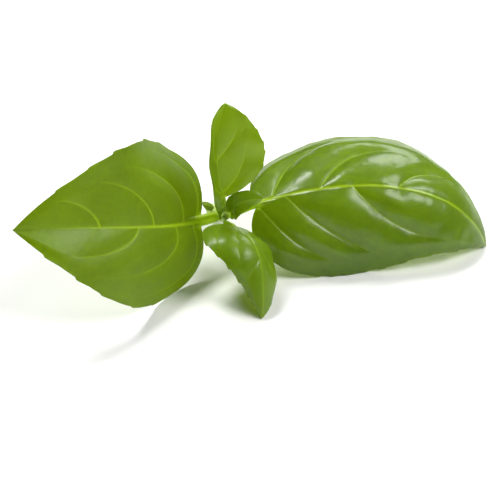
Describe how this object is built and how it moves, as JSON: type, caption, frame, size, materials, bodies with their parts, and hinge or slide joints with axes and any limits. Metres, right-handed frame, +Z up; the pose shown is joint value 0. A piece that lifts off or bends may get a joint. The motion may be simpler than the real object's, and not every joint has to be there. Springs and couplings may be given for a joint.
{
  "type": "basil sprig",
  "caption": "Cut tip of a basil sprig lying on a surface: arched leaves in opposite pairs on a short stem, with buds between them.",
  "frame": {"origin": "middle of the sprig's box, on the surface that it lies on", "axes": "+Z up, +X along the pair of big leaves towards the longer one, -Y towards the small drooping leaf and the sprig's growing tip"},
  "size_m": [0.1022, 0.0474, 0.0387],
  "materials": {
    "leaf": "fresh grown leaf, softly glossy above, paler and matt below, with sunken veins",
    "young_leaf": "thin young leaf, softly glossy, lets light through",
    "stem": "juicy green stem with fine pale hairs",
    "bud": "tight young buds with fine pale hairs"
  },
  "bodies": {
    "root": {"stem": "stem", "leaf_right": "leaf", "leaf_left": "leaf", "leaf_back": "young_leaf", "leaf_front": "young_leaf", "leaflet_right": "young_leaf", "leaflet_left": "young_leaf", "tip_bud": "bud", "axil_bud_left": "bud", "axil_bud_right": "bud"}
  },
  "joints": []
}
